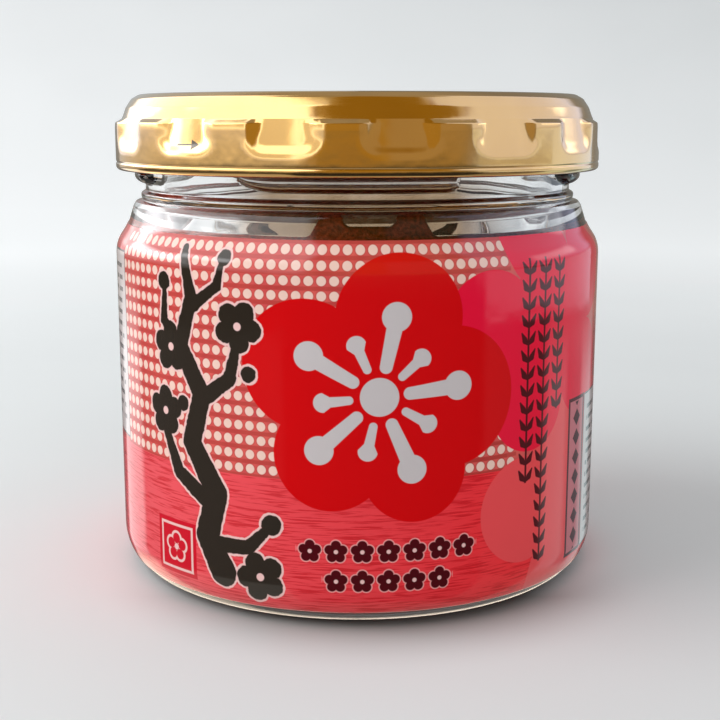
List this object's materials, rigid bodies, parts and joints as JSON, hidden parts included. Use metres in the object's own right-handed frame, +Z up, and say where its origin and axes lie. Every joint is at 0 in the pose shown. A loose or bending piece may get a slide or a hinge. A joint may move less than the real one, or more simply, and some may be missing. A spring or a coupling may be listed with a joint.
{
  "type": "jar of mentaiko",
  "caption": "Shut squat glass jar of spicy cod roe paste with a gold twist-off lid and a printed wrap label, standing upright.",
  "frame": {"origin": "on the jar's axis, at the flat foot ring that it stands on", "axes": "+Z up along the jar's axis; the middle of the label's front faces -Y, and +X is to the right seen from the front"},
  "size_m": [0.066, 0.066, 0.0635],
  "materials": {
    "glass": "clear, smooth",
    "gold_lacquer": "gold lacquer on tinplate, soft gloss",
    "printed_film": "printed label film, glossy",
    "roe_paste": "moist grainy paste, dark red-brown"
  },
  "bodies": {
    "root": {"glass_jar": "glass", "lid": "gold_lacquer", "label": "printed_film", "mentaiko": "roe_paste"}
  },
  "joints": []
}
